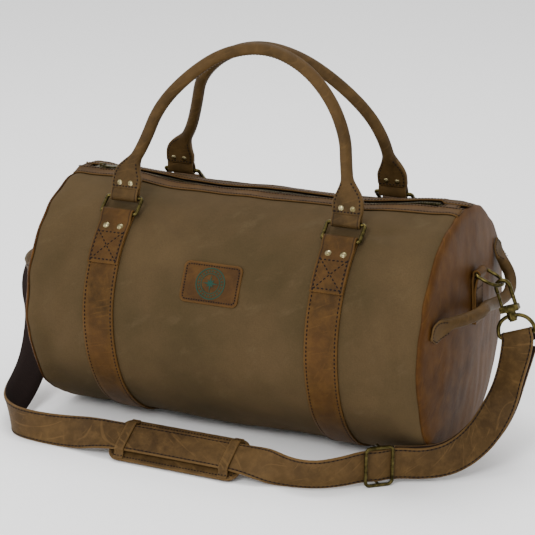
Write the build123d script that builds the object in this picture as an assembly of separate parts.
"""Round weekender duffel bag: waxed canvas barrel, leather trim, zip, four rings, hooks and shoulder strap.

Millimetres. The origin is on the floor under the middle of the bag. +X runs along the barrel
towards its right end, -Y is the front with the patch, +Z is up.
"""

from build123d import *
from math import cos, radians, sin, sqrt, tan
import os

# ---- driving dimensions ------------------------------------------------------------------
body_radius = 138.5      # canvas barrel, outer
centre_z = 137.5         # height of the barrel's axis
leather = 2.4            # thickness of the straps and tabs
gap = 0.3                # air between layers that lie on each other
flat_z = leather + gap   # underside of the canvas where the bag stands flat on its straps
canvas = 1.6
half_length = 236.0      # canvas from the middle to the end seam
end_rise = 11.6          # how far each end panel domes out
end_thick = 2.5
wire = 2.2               # radius of the ring, hook and loop wire

zip_half_slot = 22.0     # canvas and lining stop this far from the zip's middle
zip_left, zip_right = -228.0, 224.0
chain_left, chain_right = -222.0, 206.0
tooth_pitch, tooth_width = 5.0, 2.3
tooth_inner, tooth_outer = 0.7, 3.4
tooth_low, tooth_high = 274.0, 276.4
facing_inner, facing_outer = 7.5, 26.0

strap_x = {"left": -142.0, "right": 126.0}
strap_width = 38.0
ring_angle = 37.6        # degrees from the top of the barrel down to a ring's lower bar
ring_width, ring_height = 43.6, 22.0     # between wire centres
ring_lift = 40.0         # degrees that a resting ring rises towards the zip
fold_in, fold_out = wire + 0.35, wire + 0.35 + leather
return_start, return_end = 42.5, 62.5    # degrees, the strap's turned-back end
strap_rivet_angle, strap_rivet_gap = 44.5, 17.5

roll_radius, core_radius = 6.75, 4.0
handle_lean = 13.3       # degrees that each handle leans in over the zip
tab_width, tab_half_thick, tab_top = 35.0, 3.0, 40.0
handle_rivet_up, handle_rivet_gap = 16.0, 13.5
handle_path = {
    "front": [(-140, 28), (-124, 62), (-110, 105), (-76, 143), (-35, 171), (14, 180), (60, 163),
              (95, 130), (115, 92), (119, 58), (126, 28)],
    "back": [(-141, 28), (-124, 54), (-112, 88), (-101, 125), (-66, 156), (-20, 169), (28, 158),
             (70, 130), (103, 97), (119, 66), (126, 28)],
}

patch_size, patch_centre = (70.0, 46.0), (-9.0, 58.5)   # width, height; x, height above the axis

d_bar = (254.0, 208.0)   # x, z of the D-ring's straight bar
d_wire, d_width, d_reach, d_drop = 2.0, 30.0, 28.0, 23.6
hook_tilt = 20.0         # degrees that the hook leans out at the bottom
hook_half, hook_eye_top, tip_drop = 8.0, -3.5, 4.5   # eye's half width, arc centre, tip below it
hook_body = (-31.0, -24.0)
gate_pivot = (-8.0, -27.0)
collar = (-39.5, -31.3)
loop_width, loop_height, loop_top = 42.0, 22.0, -36.0
end_tabs = ((-95.0, 177.0, 24.0), (93.0, 193.0, -90.0))    # y, z, turn of each teardrop tab
end_roll = 6.5
end_handle_path = [(251, -95, 177), (262, -82, 178), (271, -64, 179.5), (274, -42, 179.5),
                   (265, -14, 173), (261, 16, 166), (264, 48, 162), (267, 74, 166), (262, 90, 179),
                   (251, 93, 193)]

belt_width, belt_thick = 36.0, 3.0       # shoulder strap
belt_step, fold_step, fold_zone = 9.0, 1.0, 52.0   # spacing of the strap's cross-sections
pad_length, pad_height, pad_thick = 160.0, 56.0, 7.0
pad_spot, pad_across = (-27.0, -175.8, 22.5), (0.0, -0.866, -0.5)
band_at, band_width, belt_air = 64.0, 10.0, 1.2
buckle_spot, buckle_size, buckle_wire = (192.0, -137.5, 24.0), (30.0, 43.0), 1.9
buckle_air = 1.6         # room between the strap and the buckle's frame and bar

os.makedirs("parts", exist_ok=True)
volumes = {}


def save(name, shape):
    """Write one sub-part to its own file."""
    solids = shape.solids()
    volumes[name] = sum(solid.volume for solid in solids)
    export_step(solids[0] if len(solids) == 1 else Compound(children=list(solids)), f"parts/{name}.step")


def both(name, shape, about, names):
    """Write a sub-part and its mirror image."""
    save(f"{name}_{names[0]}", shape)
    save(f"{name}_{names[1]}", mirror(shape, about=about))


def block(x0, x1, y0, y1, z0, z1):
    """Box between two corners."""
    middle = Pos((x0 + x1) / 2, (y0 + y1) / 2, (z0 + z1) / 2)
    return middle * Box(x1 - x0, y1 - y0, z1 - z0)


def section(grow):
    """Cross-section of the barrel, grown outwards: a circle with a flat foot."""
    disc = Pos(0, centre_z) * Circle(body_radius + grow)
    under = Pos(0, flat_z - grow - 50) * Rectangle(400, 100)
    return disc - under


def along_x(sketch, x0, x1):
    """Extrude a Y-Z sketch from x0 to x1."""
    return Pos(x0, 0, 0) * extrude(Plane.YZ * sketch, x1 - x0, dir=(1, 0, 0))


def layer(inner, outer, x0, x1):
    """Skin of the barrel between two growths."""
    return along_x(section(outer), x0, x1) - along_x(section(inner), x0 - 1, x1 + 1)


def polar(radius, angle, side):
    """Point of the cross-section at an angle from the top, on the side -1 front or 1 back."""
    return (side * radius * sin(radians(angle)), centre_z + radius * cos(radians(angle)))


def corner_radii(points):
    """Arc radius at each corner: 0.45 of its shorter run, over the tangent of half the turn."""
    spots = [Vector(*point) for point in points]
    radii = []
    for before, here, after in zip(spots, spots[1:], spots[2:]):
        run_in, run_out = here - before, after - here
        half_turn = radians(run_in.get_angle(run_out) / 2)
        radii.append(0.45 * min(run_in.length, run_out.length) / tan(half_turn))
    return radii


def arc_path(points):
    """Straight runs joined by tangent arcs."""
    return Wire(FilletPolyline(*points, radius=corner_radii(points)).edges())


def tube(path, radius):
    """Round bar along a path."""
    start = Plane(origin=path @ 0, z_dir=path % 0)
    return sweep(start * Circle(radius), path=path)


def rivet(cap_radius, grip, lower_cap):
    """Domed rivet standing on z = 0, with its shank going down by grip."""
    dome = 1.5
    ball = (cap_radius**2 + dome**2) / (2 * dome)
    head = (Pos(0, 0, dome - ball) * Sphere(ball)) & block(-9, 9, -9, 9, 0, dome + 1)
    shank = Pos(0, 0, -grip / 2) * Cylinder(1.6, grip)
    body = head + shank
    if lower_cap:
        body += Pos(0, 0, -grip) * Rot(180, 0, 0) * head
    return body


# ---- barrel ------------------------------------------------------------------------------
slot = block(zip_left, zip_right, -zip_half_slot, zip_half_slot, 200, 300)
save("canvas_body", layer(-canvas, 0, -half_length, half_length) - slot)
lining_out, lining_in = -canvas - 0.8, -canvas - 1.6
lining = along_x(section(lining_out), 1 - half_length, half_length - 1)
lining -= along_x(section(lining_in), 1.8 - half_length, half_length - 1.8)
save("lining", lining - slot)
board_half = 45.0
board_low = centre_z - sqrt((body_radius + lining_in) ** 2 - board_half**2) + gap
save("base_board", block(-205, 205, -board_half, board_half, board_low, board_low + 3))


# ---- end panels --------------------------------------------------------------------------
rim_x = half_length + gap + end_thick
dome_radius = (body_radius**2 + end_rise**2) / (2 * end_rise)


def dome_x(radius):
    """Outer face of the right end panel at a distance from the barrel's axis."""
    return rim_x + end_rise - dome_radius + sqrt(dome_radius**2 - radius**2)


def dome(inner, outer):
    """Domed layer over the right end, between two offsets from the panel's outer face."""
    half = body_radius / 2
    face = make_face([
        ThreePointArc((rim_x + inner, body_radius), (dome_x(half) + inner, half), (dome_x(0) + inner, 0)),
        Line((dome_x(0) + inner, 0), (dome_x(0) + outer, 0)),
        ThreePointArc((dome_x(0) + outer, 0), (dome_x(half) + outer, half), (rim_x + outer, body_radius)),
        Line((rim_x + outer, body_radius), (rim_x + inner, body_radius)),
    ])
    return Pos(0, 0, centre_z) * revolve(face, Axis.X, 360)


def on_end(sketch, outer):
    """Leather laid on the right end panel with the outline of a Y-Z sketch."""
    return dome(gap, outer) & along_x(sketch, 230, 270)


ends = ("right", "left")
end_panel = dome(-end_thick, 0) - block(200, 300, -200, 200, -50, flat_z)
both("end_panel", end_panel, Plane.YZ, ends)

# ---- zip ---------------------------------------------------------------------------------
sides = ("back", "front")
facing_band = block(-300, 300, facing_inner, facing_outer, 200, 300)
both("zip_facing", layer(gap, 2.0, gap - half_length, half_length - gap) & facing_band, Plane.XZ, sides)
tape_band = block(-300, 300, tooth_outer, zip_half_slot - 0.5, 200, 300)
both("zip_tape", layer(-1.2, -0.4, zip_left + 0.5, zip_right - 0.5) & tape_band, Plane.XZ, sides)

tooth_count = int((chain_right - chain_left) / tooth_pitch)
for side, start, name in ((1, 0.0, "back"), (-1, tooth_pitch / 2, "front")):
    row = []
    for index in range(tooth_count):
        x = chain_left + start + index * tooth_pitch
        inner, outer = sorted((side * tooth_inner, side * tooth_outer))
        row.append(block(x, x + tooth_width, inner, outer, tooth_low, tooth_high))
    save(f"zip_teeth_{name}", Compound(children=row))
stops = [
    block(x, x + 2.5, -tooth_outer, tooth_outer, tooth_low, tooth_high)
    for x in (chain_left - 3.5, chain_right + 1.5)
]
save("zip_stops", Compound(children=stops))
tab_band = block(-300, 300, 0.6 - facing_inner, facing_inner - 0.6, 200, 300)
for name, x0, x1 in (("right", chain_right + 4.6, 226.0), ("left", -235.0, chain_left - 4.0)):
    save(f"zip_end_tab_{name}", layer(gap, 1.8, x0, x1) & tab_band)

slider_x, slider_half = -209.5, 7.0
plate_low, plate_high, plate_half = tooth_high + 0.5, tooth_high + 1.7, 5.8
slider = block(-slider_half, slider_half, -plate_half, plate_half, plate_low, plate_high)
slider += block(-slider_half, slider_half, -plate_half, plate_half, tooth_low - 1.7, tooth_low - 0.5)
slider += block(-slider_half, 3 - slider_half, -0.5, 0.5, tooth_low - 0.6, plate_low + 0.1)
for side in (-1, 1):
    inner, outer = sorted((side * 4.2, side * plate_half))
    slider += block(-slider_half, slider_half, inner, outer, plate_low - 0.6, plate_low + 0.1)
slider += block(-3.5, 3.5, -0.8, 0.8, plate_high - 0.1, plate_high + 4.0)
slider -= block(-2.3, 2.3, -1, 1, plate_high, plate_high + 2.8)
save("zip_slider", Pos(slider_x, 0, 0) * slider)

pull_z = plate_high + 1.2
pull = Rot(90, 0, 0) * Cylinder(0.6, 4.8)
for side in (-1, 1):
    inner, outer = sorted((side * 1.1, side * 2.4))
    pull += block(-0.8, 6, inner, outer, -0.8, 0.8)
plate = fillet(block(5.2, 29, -3.6, 3.6, -0.7, 0.7).edges().filter_by(Axis.Z), 2.2)
pull += plate - Pos(24.5, 0, 0) * Cylinder(1.6, 4)
save("zip_pull", Pos(slider_x, 0, pull_z) * pull)

# ---- straps round the barrel, with each end folded over a ring ----------------------------
strap_in, strap_out = gap, gap + leather
bar_radius = body_radius + strap_out + fold_in
opening = Polygon((0, centre_z), polar(400, ring_angle, -1), polar(400, ring_angle, 1), align=None)
strap_ends = (-strap_width / 2, strap_width / 2)
strap_body = along_x(section(strap_out) - section(strap_in) - opening, *strap_ends)
for side in (-1, 1):
    top = body_radius + strap_out + leather
    wedge = Polygon(
        polar(body_radius + 0.8, ring_angle, side), polar(body_radius + 0.8, return_start, side),
        polar(top, return_start, side), polar(bar_radius + fold_out, ring_angle, side), align=None)
    sector = Polygon((0, centre_z), polar(400, return_start - 0.4, side), polar(400, return_end, side),
                     align=None)
    turned = Pos(0, centre_z) * (Circle(top) - Circle(body_radius + strap_out - 0.4))
    bar = Pos(*polar(bar_radius, ring_angle, side))
    for sketch in (wedge, turned & sector, bar * Circle(fold_out)):
        strap_body += along_x(sketch, *strap_ends)
    strap_body -= along_x(bar * Circle(fold_in), *strap_ends)

for name, x in strap_x.items():
    strap = Pos(x, 0, 0) * strap_body
    rivets = []
    for side in (-1, 1):
        y, z = polar(body_radius + strap_out + leather, strap_rivet_angle, side)
        for shift in (-strap_rivet_gap / 2, strap_rivet_gap / 2):
            seat = Pos(x + shift, y, z) * Rot(-side * strap_rivet_angle, 0, 0)
            rivets.append(seat * rivet(3.75, 2 * leather - 0.2, False))
            strap -= seat * Pos(0, 0, -leather) * Cylinder(1.65, 2 * leather)
    save(f"strap_{name}", strap)
    save(f"strap_rivets_{name}", Compound(children=rivets))

# ---- rings -------------------------------------------------------------------------------
bar_y, bar_z = polar(bar_radius, ring_angle, -1)
ring_outline = Pos(0, ring_height / 2) * RectangleRounded(ring_width, ring_height, 2.6)
ring_shape = tube(ring_outline.wire(), wire)
ring_shape = Pos(0, bar_y, bar_z) * Rot(ring_lift, 0, 0) * ring_shape
for name, x in strap_x.items():
    save(f"front_ring_{name}", Pos(x, 0, 0) * ring_shape)
    save(f"back_ring_{name}", mirror(Pos(x, 0, 0) * ring_shape, about=Plane.XZ))

# ---- handles, drawn flat with the ring bar at y = 0 and then stood up ----------------------
top_y = bar_y + ring_height * cos(radians(ring_lift))
top_z = bar_z + ring_height * sin(radians(ring_lift))
stand = Pos(0, top_y, top_z) * Rot(90 - handle_lean, 0, 0)
half_tab = tab_width / 2
tab_outline = Polygon((-half_tab, -8), (half_tab, -8), (half_tab, 20), (7.5, tab_top), (-7.5, tab_top),
                      (-half_tab, 20), align=None)
tab_side = Circle(fold_out) + Polygon(
    (0, -fold_out), (12, -tab_half_thick), (tab_top, -tab_half_thick), (tab_top, tab_half_thick),
    (12, tab_half_thick), (0, fold_out), align=None) - Circle(fold_in)
handle_tab = extrude(tab_outline, 8, both=True) & along_x(tab_side, -half_tab, half_tab)

for name, points in handle_path.items():
    path = arc_path(points)
    shell = tube(path, roll_radius)
    rivets = []
    for x in strap_x.values():
        shell += Pos(x, 0, 0) * handle_tab
        for shift in (-handle_rivet_gap / 2, handle_rivet_gap / 2):
            seat = Pos(x + shift, handle_rivet_up, tab_half_thick)
            rivets.append(seat * rivet(3.75, 2 * tab_half_thick, True))
            shell -= seat * Cylinder(1.65, 20)
    shell -= tube(path, core_radius + 0.2)
    pieces = {"handle": shell, "handle_core": tube(path, core_radius),
              "handle_rivets": Compound(children=rivets)}
    for piece, shape in pieces.items():
        placed = stand * shape
        save(f"{name}_{piece}", placed if name == "front" else mirror(placed, about=Plane.XZ))

# ---- patch on the front ------------------------------------------------------------------
patch_x, patch_up = patch_centre


def on_front(sketch, inner, outer):
    """Leather laid on the front of the barrel with the outline of an X-Z sketch."""
    prism = extrude(Plane.XZ * (Pos(patch_x, centre_z + patch_up) * sketch), 400)
    return layer(inner, outer, -100, 100) & prism


save("patch", on_front(RectangleRounded(*patch_size, 7), gap, 2.2))
save("patch_emblem", on_front(Circle(17.5), 2.2 + 0.05, 2.7))

# ---- end grab handles and ring tabs --------------------------------------------------------
teardrop = Circle(13) + Polygon((-11, 7), (-11, -7), (-27, -3), (-27, 3), align=None)
end_handle = tube(arc_path(end_handle_path), end_roll)
for (tab_y, tab_z, turn), (x0, y0, z0) in zip(end_tabs, (end_handle_path[0], end_handle_path[-1])):
    end_handle += on_end(Pos(tab_y, tab_z) * Rot(0, 0, turn) * teardrop, gap + leather)
    near = dome_x(sqrt((abs(tab_y) - 7) ** 2 + (tab_z - centre_z - 6) ** 2)) + 0.6
    end_handle += Pos((near + x0) / 2, y0, z0) * Rot(0, 90, 0) * Cylinder(6.1, x0 - near)
    end_handle += Pos(x0, y0, z0) * Sphere(6.4)
both("end_handle", end_handle, Plane.YZ, ends)

d_x, d_z = d_bar
loop_profile = Polygon((249.4, 186), (251.8, 186), (258.3, 206.6), (254, 212.4), (248.1, 209.5), align=None)
loop_profile = loop_profile + Pos(d_x, d_z) * Circle(4.5)
ring_tab = on_end(Pos(0, 176) * Rectangle(24, 52), gap + leather)
ring_tab += extrude(Plane.XZ * loop_profile, 12, both=True)
ring_tab -= Pos(d_x, 0, d_z) * Rot(90, 0, 0) * Cylinder(d_wire + 0.35, 60)
both("ring_tab", ring_tab, Plane.YZ, ends)


def d_outline(width, height, lower, upper):
    """D-shaped wire with its straight bar along local X at y = 0."""
    face = Pos(0, height / 2) * Rectangle(width, height)
    face = fillet(face.vertices().sort_by(Axis.Y)[:2], lower)
    return fillet(face.vertices().sort_by(Axis.Y)[-2:], upper).wire()


d_plane = Plane(origin=(d_x, 0, d_z), x_dir=(0, 1, 0),
                z_dir=(-sin(radians(d_drop)), 0, -cos(radians(d_drop))))
d_path = d_plane * d_outline(d_width, d_reach, 3.5, d_width / 2 - 0.1)
both("d_ring", tube(d_path, d_wire), Plane.YZ, ends)

# ---- snap hooks, drawn hanging from the D-ring's wire and then leaned out -------------------
hang_x = d_x + d_reach * cos(radians(d_drop))
hang_z = d_z - d_reach * sin(radians(d_drop))
lean = Pos(hang_x, 0, hang_z) * Rot(0, -hook_tilt, 0)
hook_line = Wire([
    Plane.XZ * Line((-hook_half, hook_eye_top - tip_drop), (-hook_half, hook_eye_top)),
    Plane.XZ * CenterArc((0, hook_eye_top), hook_half, 180, -180),
    Plane.XZ * Line((hook_half, hook_eye_top), (hook_half, hook_body[1] - 3)),
])
pivot_x, pivot_z = gate_pivot
across = Rot(90, 0, 0)
shoulder = fillet(block(-11, 11, -3.6, 3.6, *hook_body).edges().filter_by(Axis.Y), 1.8)
shoulder -= block(-12, -2.4, -2.1, 2.1, hook_body[0] - 1, hook_body[1] + 1)
hook = tube(hook_line, wire) + shoulder
hook += Pos(0, 0, collar[0] + 4.1) * Cylinder(3.0, 9.2)
hook += Pos(0, 0, collar[0] - 1.35) * Cylinder(4.4, 1.7)
hook -= Pos(pivot_x, 0, pivot_z) * across * Cylinder(0.9, 12)
gate_top = hook_eye_top - tip_drop - 0.5
gate = Pos(pivot_x, 0, (pivot_z + gate_top) / 2) * Cylinder(1.7, gate_top - pivot_z)
gate += Pos(pivot_x, 0, pivot_z) * across * Cylinder(2.6, 3.5)
gate -= Pos(pivot_x, 0, pivot_z) * across * Cylinder(0.96, 12)
loop_plane = Plane(origin=(0, 0, loop_top - loop_height), x_dir=(1, 0, 0), z_dir=(0, -1, 0))
swivel = tube(loop_plane * d_outline(loop_width, loop_height, 3.5, 18), wire)
collar_middle = Pos(0, 0, (collar[0] + collar[1]) / 2)
swivel += collar_middle * Cylinder(5.2, collar[1] - collar[0])
swivel -= collar_middle * Cylinder(3.06, 9.5)
both("hook", lean * hook, Plane.YZ, ends)
both("hook_gate", lean * gate, Plane.YZ, ends)
both("hook_gate_pin", lean * Pos(pivot_x, 0, pivot_z) * across * Cylinder(0.9, 7.2), Plane.YZ, ends)
both("swivel_loop", lean * swivel, Plane.YZ, ends)

# ---- shoulder strap: a flat strip through stations along its path ---------------------------
hook_down = (sin(radians(hook_tilt)), 0.0, -cos(radians(hook_tilt)))
loop_bar = [base + (loop_height - loop_top) * step
            for base, step in zip((hang_x, 0.0, hang_z), hook_down)]


def off_bar(side, y, down):
    """Point beside a loop's lower bar, on the side -1 left or 1 right."""
    return (side * (loop_bar[0] + down * hook_down[0]), y, loop_bar[2] + down * hook_down[2])


fold = wire + gap + belt_thick / 2
left_bar = (hook_down[2] * -1, 0.0, -hook_down[0])
right_bar = (hook_down[2] * -1, 0.0, hook_down[0])
upright = (0.0, 0.0, -1.0)
belt_path = [
    (off_bar(-1, 2.6, 22), left_bar),
    (off_bar(-1, fold, -fold), left_bar),
    (off_bar(-1, -fold, -fold), left_bar),
    (off_bar(-1, -2.4, 24), left_bar),
    ((-297, -8, 94), (1.0, 0.0, -0.25)),
    ((-290, -24, 68), (0.97, 0.1, -0.3)),
    ((-282, -50, 44), (0.93, 0.25, -0.3)),
    ((-274, -84, 30), (0.85, 0.3, -0.45)),
    ((-266, -120, 22), (0.6, 0.15, -0.75)),
    ((-256, -152, 19), (0.25, 0.05, -0.97)),
    ((-238, -173, 18.5), upright),
    ((-206, -180.5, 18.5), upright),
    ((-160, -180, 18.8), (0.0, -0.2, -0.98)),
    ((-116, -174.5, 22.5), pad_across),
    (pad_spot, pad_across),
    ((62, -178.8, 22.5), pad_across),
    ((104, -184, 19), (0.0, 0.1, -0.99)),
    ((138, -184, 20), (0.0, 0.3, -0.95)),
    ((162, -168, 22), (0.0, 0.2, -0.98)),
    ((180, -148, 24), (0.0, 0.05, -1.0)),
    ((206, -125.3, 24), (0.02, 0.07, -1.0)),
    ((238, -110.5, 22), (0.15, 0.2, -0.97)),
    ((262, -90, 26), (0.35, 0.05, -0.93)),
    ((281, -62, 42), (0.6, -0.15, -0.75)),
    ((292, -32, 68), (0.8, -0.3, -0.45)),
    ((296.5, -12, 98), (0.93, -0.3, 0.1)),
    (off_bar(1, -fold, 6), right_bar),
    (off_bar(1, -fold, -fold), right_bar),
    (off_bar(1, fold, -fold), right_bar),
    (off_bar(1, fold, 10), right_bar),
]
return_path = [
    (off_bar(1, fold, 10.2), right_bar),
    ((298.1, -7.7, 96), (0.93, -0.3, 0.1)),
    ((291.6, -28.2, 64.7), (0.8, -0.3, -0.45)),
    ((278.4, -58.6, 39.2), (0.6, -0.15, -0.75)),
    ((258.3, -86.2, 24.8), (0.35, 0.05, -0.93)),
    ((234.9, -105.6, 22.5), (0.15, 0.2, -0.97)),
    ((204.2, -122.4, 24.2), (0.02, 0.07, -1.0)),
]


class Strip:
    """Flat strap along straight runs and tangent arcs, turned by hand-set width directions."""

    def __init__(self, stations):
        self.points = [spot for spot, _ in stations]
        self.wide = [Vector(*direction) for _, direction in stations]
        self.path = arc_path(self.points)
        self.marks = [self.mark(spot) for spot in self.points]
        self.marks[0], self.marks[-1] = 0.0, 1.0

    def mark(self, spot):
        """Where along the path, from 0 to 1, a point lies."""
        return self.path.param_at_point(self.path.closest_points(Vector(*spot))[0])

    def plane(self, mark):
        """Cross-section plane: local x across the width, z along the path."""
        after = next(index for index in range(1, len(self.marks)) if mark <= self.marks[index] + 1e-9)
        share = (mark - self.marks[after - 1]) / (self.marks[after] - self.marks[after - 1])
        wide = self.wide[after - 1] * (1 - share) + self.wide[after] * share
        along = self.path % mark
        wide = (wide - along * wide.dot(along)).normalized()
        return Plane(origin=self.path @ mark, x_dir=wide, z_dir=along)

    def face_plane(self, spot):
        """Plane of the strap's front face at a spot: local x along it, y up it, z out of it."""
        cut = self.plane(self.mark(spot))
        return Plane(origin=cut.origin, x_dir=cut.z_dir, z_dir=cut.x_dir.cross(cut.z_dir))

    def solid(self, width, thick):
        """Strap through close cross-sections, closer still round its folds at both ends."""
        spot, cuts = 0.0, []
        while spot < self.path.length:
            cuts.append(spot / self.path.length)
            near_fold = min(spot, self.path.length - spot) < fold_zone
            spot += fold_step if near_fold else belt_step
        if (1.0 - cuts[-1]) * self.path.length < fold_step / 2:
            cuts.pop()
        faces = [(self.plane(cut) * Rectangle(width, thick)).face() for cut in cuts + [1.0]]
        return loft(faces, ruled=True)


strips = {"shoulder_strap": Strip(belt_path), "strap_return": Strip(return_path)}
for name, strip in strips.items():
    save(name, strip.solid(belt_width, belt_thick))
    print(name, "length", round(strip.path.length, 1), "volume", round(volumes[name]),
          "section x length", round(strip.path.length * belt_width * belt_thick))
    print(name, "radii", [round(radius, 1) for radius in corner_radii(strip.points)])

# ---- shoulder pad: the strap lies on it and runs behind its two bands ------------------------
half_gap = belt_thick / 2 + belt_air
pad = fillet(block(-pad_length / 2, pad_length / 2, -pad_height / 2, pad_height / 2,
                   -half_gap - pad_thick, -half_gap).edges().filter_by(Axis.Z), 13)
for side in (-1, 1):
    x0 = side * band_at - band_width / 2
    band = block(x0, x0 + band_width, -25, 25, -half_gap - 0.1, half_gap + leather)
    slit = belt_width / 2 + belt_air
    pad += band - block(x0 - 1, x0 + band_width + 1, -slit, slit, -half_gap, half_gap)
save("shoulder_pad", strips["shoulder_strap"].face_plane(pad_spot) * pad)

# ---- slide buckle: frame in front of the strap, bar behind it --------------------------------
buckle_plane = strips["shoulder_strap"].face_plane(buckle_spot)
frame_out = belt_thick / 2 + buckle_air + buckle_wire
frame = tube(Pos(0, 0, frame_out) * RectangleRounded(*buckle_size, 5).wire(), buckle_wire)
save("buckle_frame", buckle_plane * frame)
leg_y, leg_top = buckle_size[1] / 2, frame_out - buckle_wire - gap
bar_line = FilletPolyline((0, -leg_y, leg_top), (0, -leg_y, -frame_out), (0, leg_y, -frame_out),
                          (0, leg_y, leg_top), radius=2.2)
bar = tube(Wire(bar_line.edges()), 1.6)
save("buckle_bar", buckle_plane * bar)
